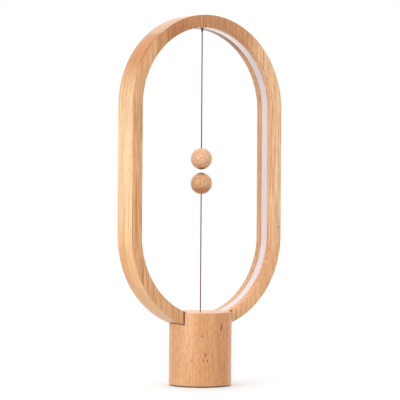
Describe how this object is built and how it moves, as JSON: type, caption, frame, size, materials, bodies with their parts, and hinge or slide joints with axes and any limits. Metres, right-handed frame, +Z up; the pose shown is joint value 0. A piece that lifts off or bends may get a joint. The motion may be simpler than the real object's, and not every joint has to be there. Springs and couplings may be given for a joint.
{
  "type": "magnetic balance lamp",
  "caption": "Table lamp with an upright oval wooden light ring on a round wooden base; wooden balls with magnets on cords switch it.",
  "frame": {"origin": "on the table, under the middle of the round base", "axes": "+Z up, +X to the right along the width of the ring, +Y to the back, where the power socket is; the lamp faces -Y"},
  "size_m": [0.2, 0.068, 0.4],
  "materials": {
    "beech_frame": "satin",
    "beech_base": "satin",
    "beech_ball": "satin",
    "beech_plug": "satin",
    "milky_diffuser": "matt, lit from behind",
    "strip_board": "satin",
    "led_resin": "gloss",
    "cord": "twisted thread",
    "black_plastic": "matt",
    "white_plastic": "satin",
    "red_plastic": "satin",
    "rubber": "matt",
    "steel": "brushed",
    "nickel": "nickel plate",
    "brass": "satin",
    "circuit_board": "solder mask",
    "lead_wire": "satin"
  },
  "bodies": {
    "root": {"frame_front_half": "beech_frame", "frame_rear_half": "beech_frame", "frame_screws": "steel", "diffuser": "milky_diffuser", "led_strip": "strip_board", "led_chips": "led_resin", "base_body": "beech_base", "foot_pad": "rubber", "bottom_cover": "white_plastic", "cover_screws": "steel", "ballast": "steel", "ballast_screw": "steel", "main_board": "circuit_board", "board_spacers": "brass", "board_screws": "steel", "driver_chip": "black_plastic", "inductor": "black_plastic", "capacitor": "nickel", "led_connector": "white_plastic", "switch_connector": "white_plastic", "led_leads": "lead_wire", "switch_leads": "lead_wire", "power_socket": "nickel", "socket_tongue": "black_plastic", "switch_bracket": "steel", "bracket_screws": "steel", "switch_housing": "black_plastic", "switch_terminals": "brass", "switch_screws": "steel", "lever_pin": "steel", "upper_eyelet": "black_plastic", "upper_cord_anchor": "cord", "base_eyelet": "nickel"},
    "upper_bead": {"upper_cord_bead": "black_plastic"},
    "upper_pendulum": {"upper_cord": "cord", "upper_cord_knot": "cord", "upper_ball": "beech_ball", "upper_magnet": "nickel", "upper_ball_plug": "beech_plug"},
    "lower_tail": {"lower_cord_tail": "cord", "cord_stop": "nickel"},
    "lower_bend": {"lower_cord_bend": "cord"},
    "lower_line": {"lower_cord": "cord"},
    "lower_pendulum": {"lower_cord_knot": "cord", "lower_ball": "beech_ball", "lower_magnet": "nickel", "lower_ball_plug": "beech_plug"},
    "lever": {"switch_lever": "nickel"},
    "plunger": {"switch_plunger": "red_plastic"}
  },
  "joints": [
    {"name": "upper_side_swing", "type": "hinge", "parent": "root", "child": "upper_bead", "pos_m": [0, 0, 0.3844], "axis": [0, 1, 0], "range_deg": [-30, 30]},
    {"name": "upper_front_swing", "type": "hinge", "parent": "upper_bead", "child": "upper_pendulum", "pos_m": [0, 0, 0.3844], "axis": [1, 0, 0], "range_deg": [-60, 60]},
    {"name": "lower_cord_pull", "type": "slide", "parent": "root", "child": "lower_tail", "axis": [0, 0, 1], "range_m": [-0.0025, 0]},
    {"name": "lower_side_swing", "type": "hinge", "parent": "lower_tail", "child": "lower_bend", "pos_m": [0, 0, 0.0806], "axis": [0, 1, 0], "range_deg": [-30, 30]},
    {"name": "lower_front_swing", "type": "hinge", "parent": "lower_bend", "child": "lower_line", "pos_m": [0, 0, 0.0806], "axis": [1, 0, 0], "range_deg": [-30, 30]},
    {"name": "lower_ball_drop", "type": "slide", "parent": "lower_line", "child": "lower_pendulum", "axis": [0, 0, 1], "range_m": [-0.119, 0], "deforming": ["lower_cord"]},
    {"name": "switch_lever_turn", "type": "hinge", "parent": "root", "child": "lever", "pos_m": [0.0165, 0, 0.042], "axis": [0, 1, 0], "range_deg": [-8.7, 0]},
    {"name": "switch_plunger_press", "type": "slide", "parent": "root", "child": "plunger", "axis": [0, 0, 1], "range_m": [-0.0008, 0]}
  ],
  "couplings": [
    {"joint": "switch_lever_turn", "follows": "lower_cord_pull", "rad_per_m": 60.6},
    {"joint": "switch_plunger_press", "follows": "lower_cord_pull", "ratio": 0.303}
  ]
}
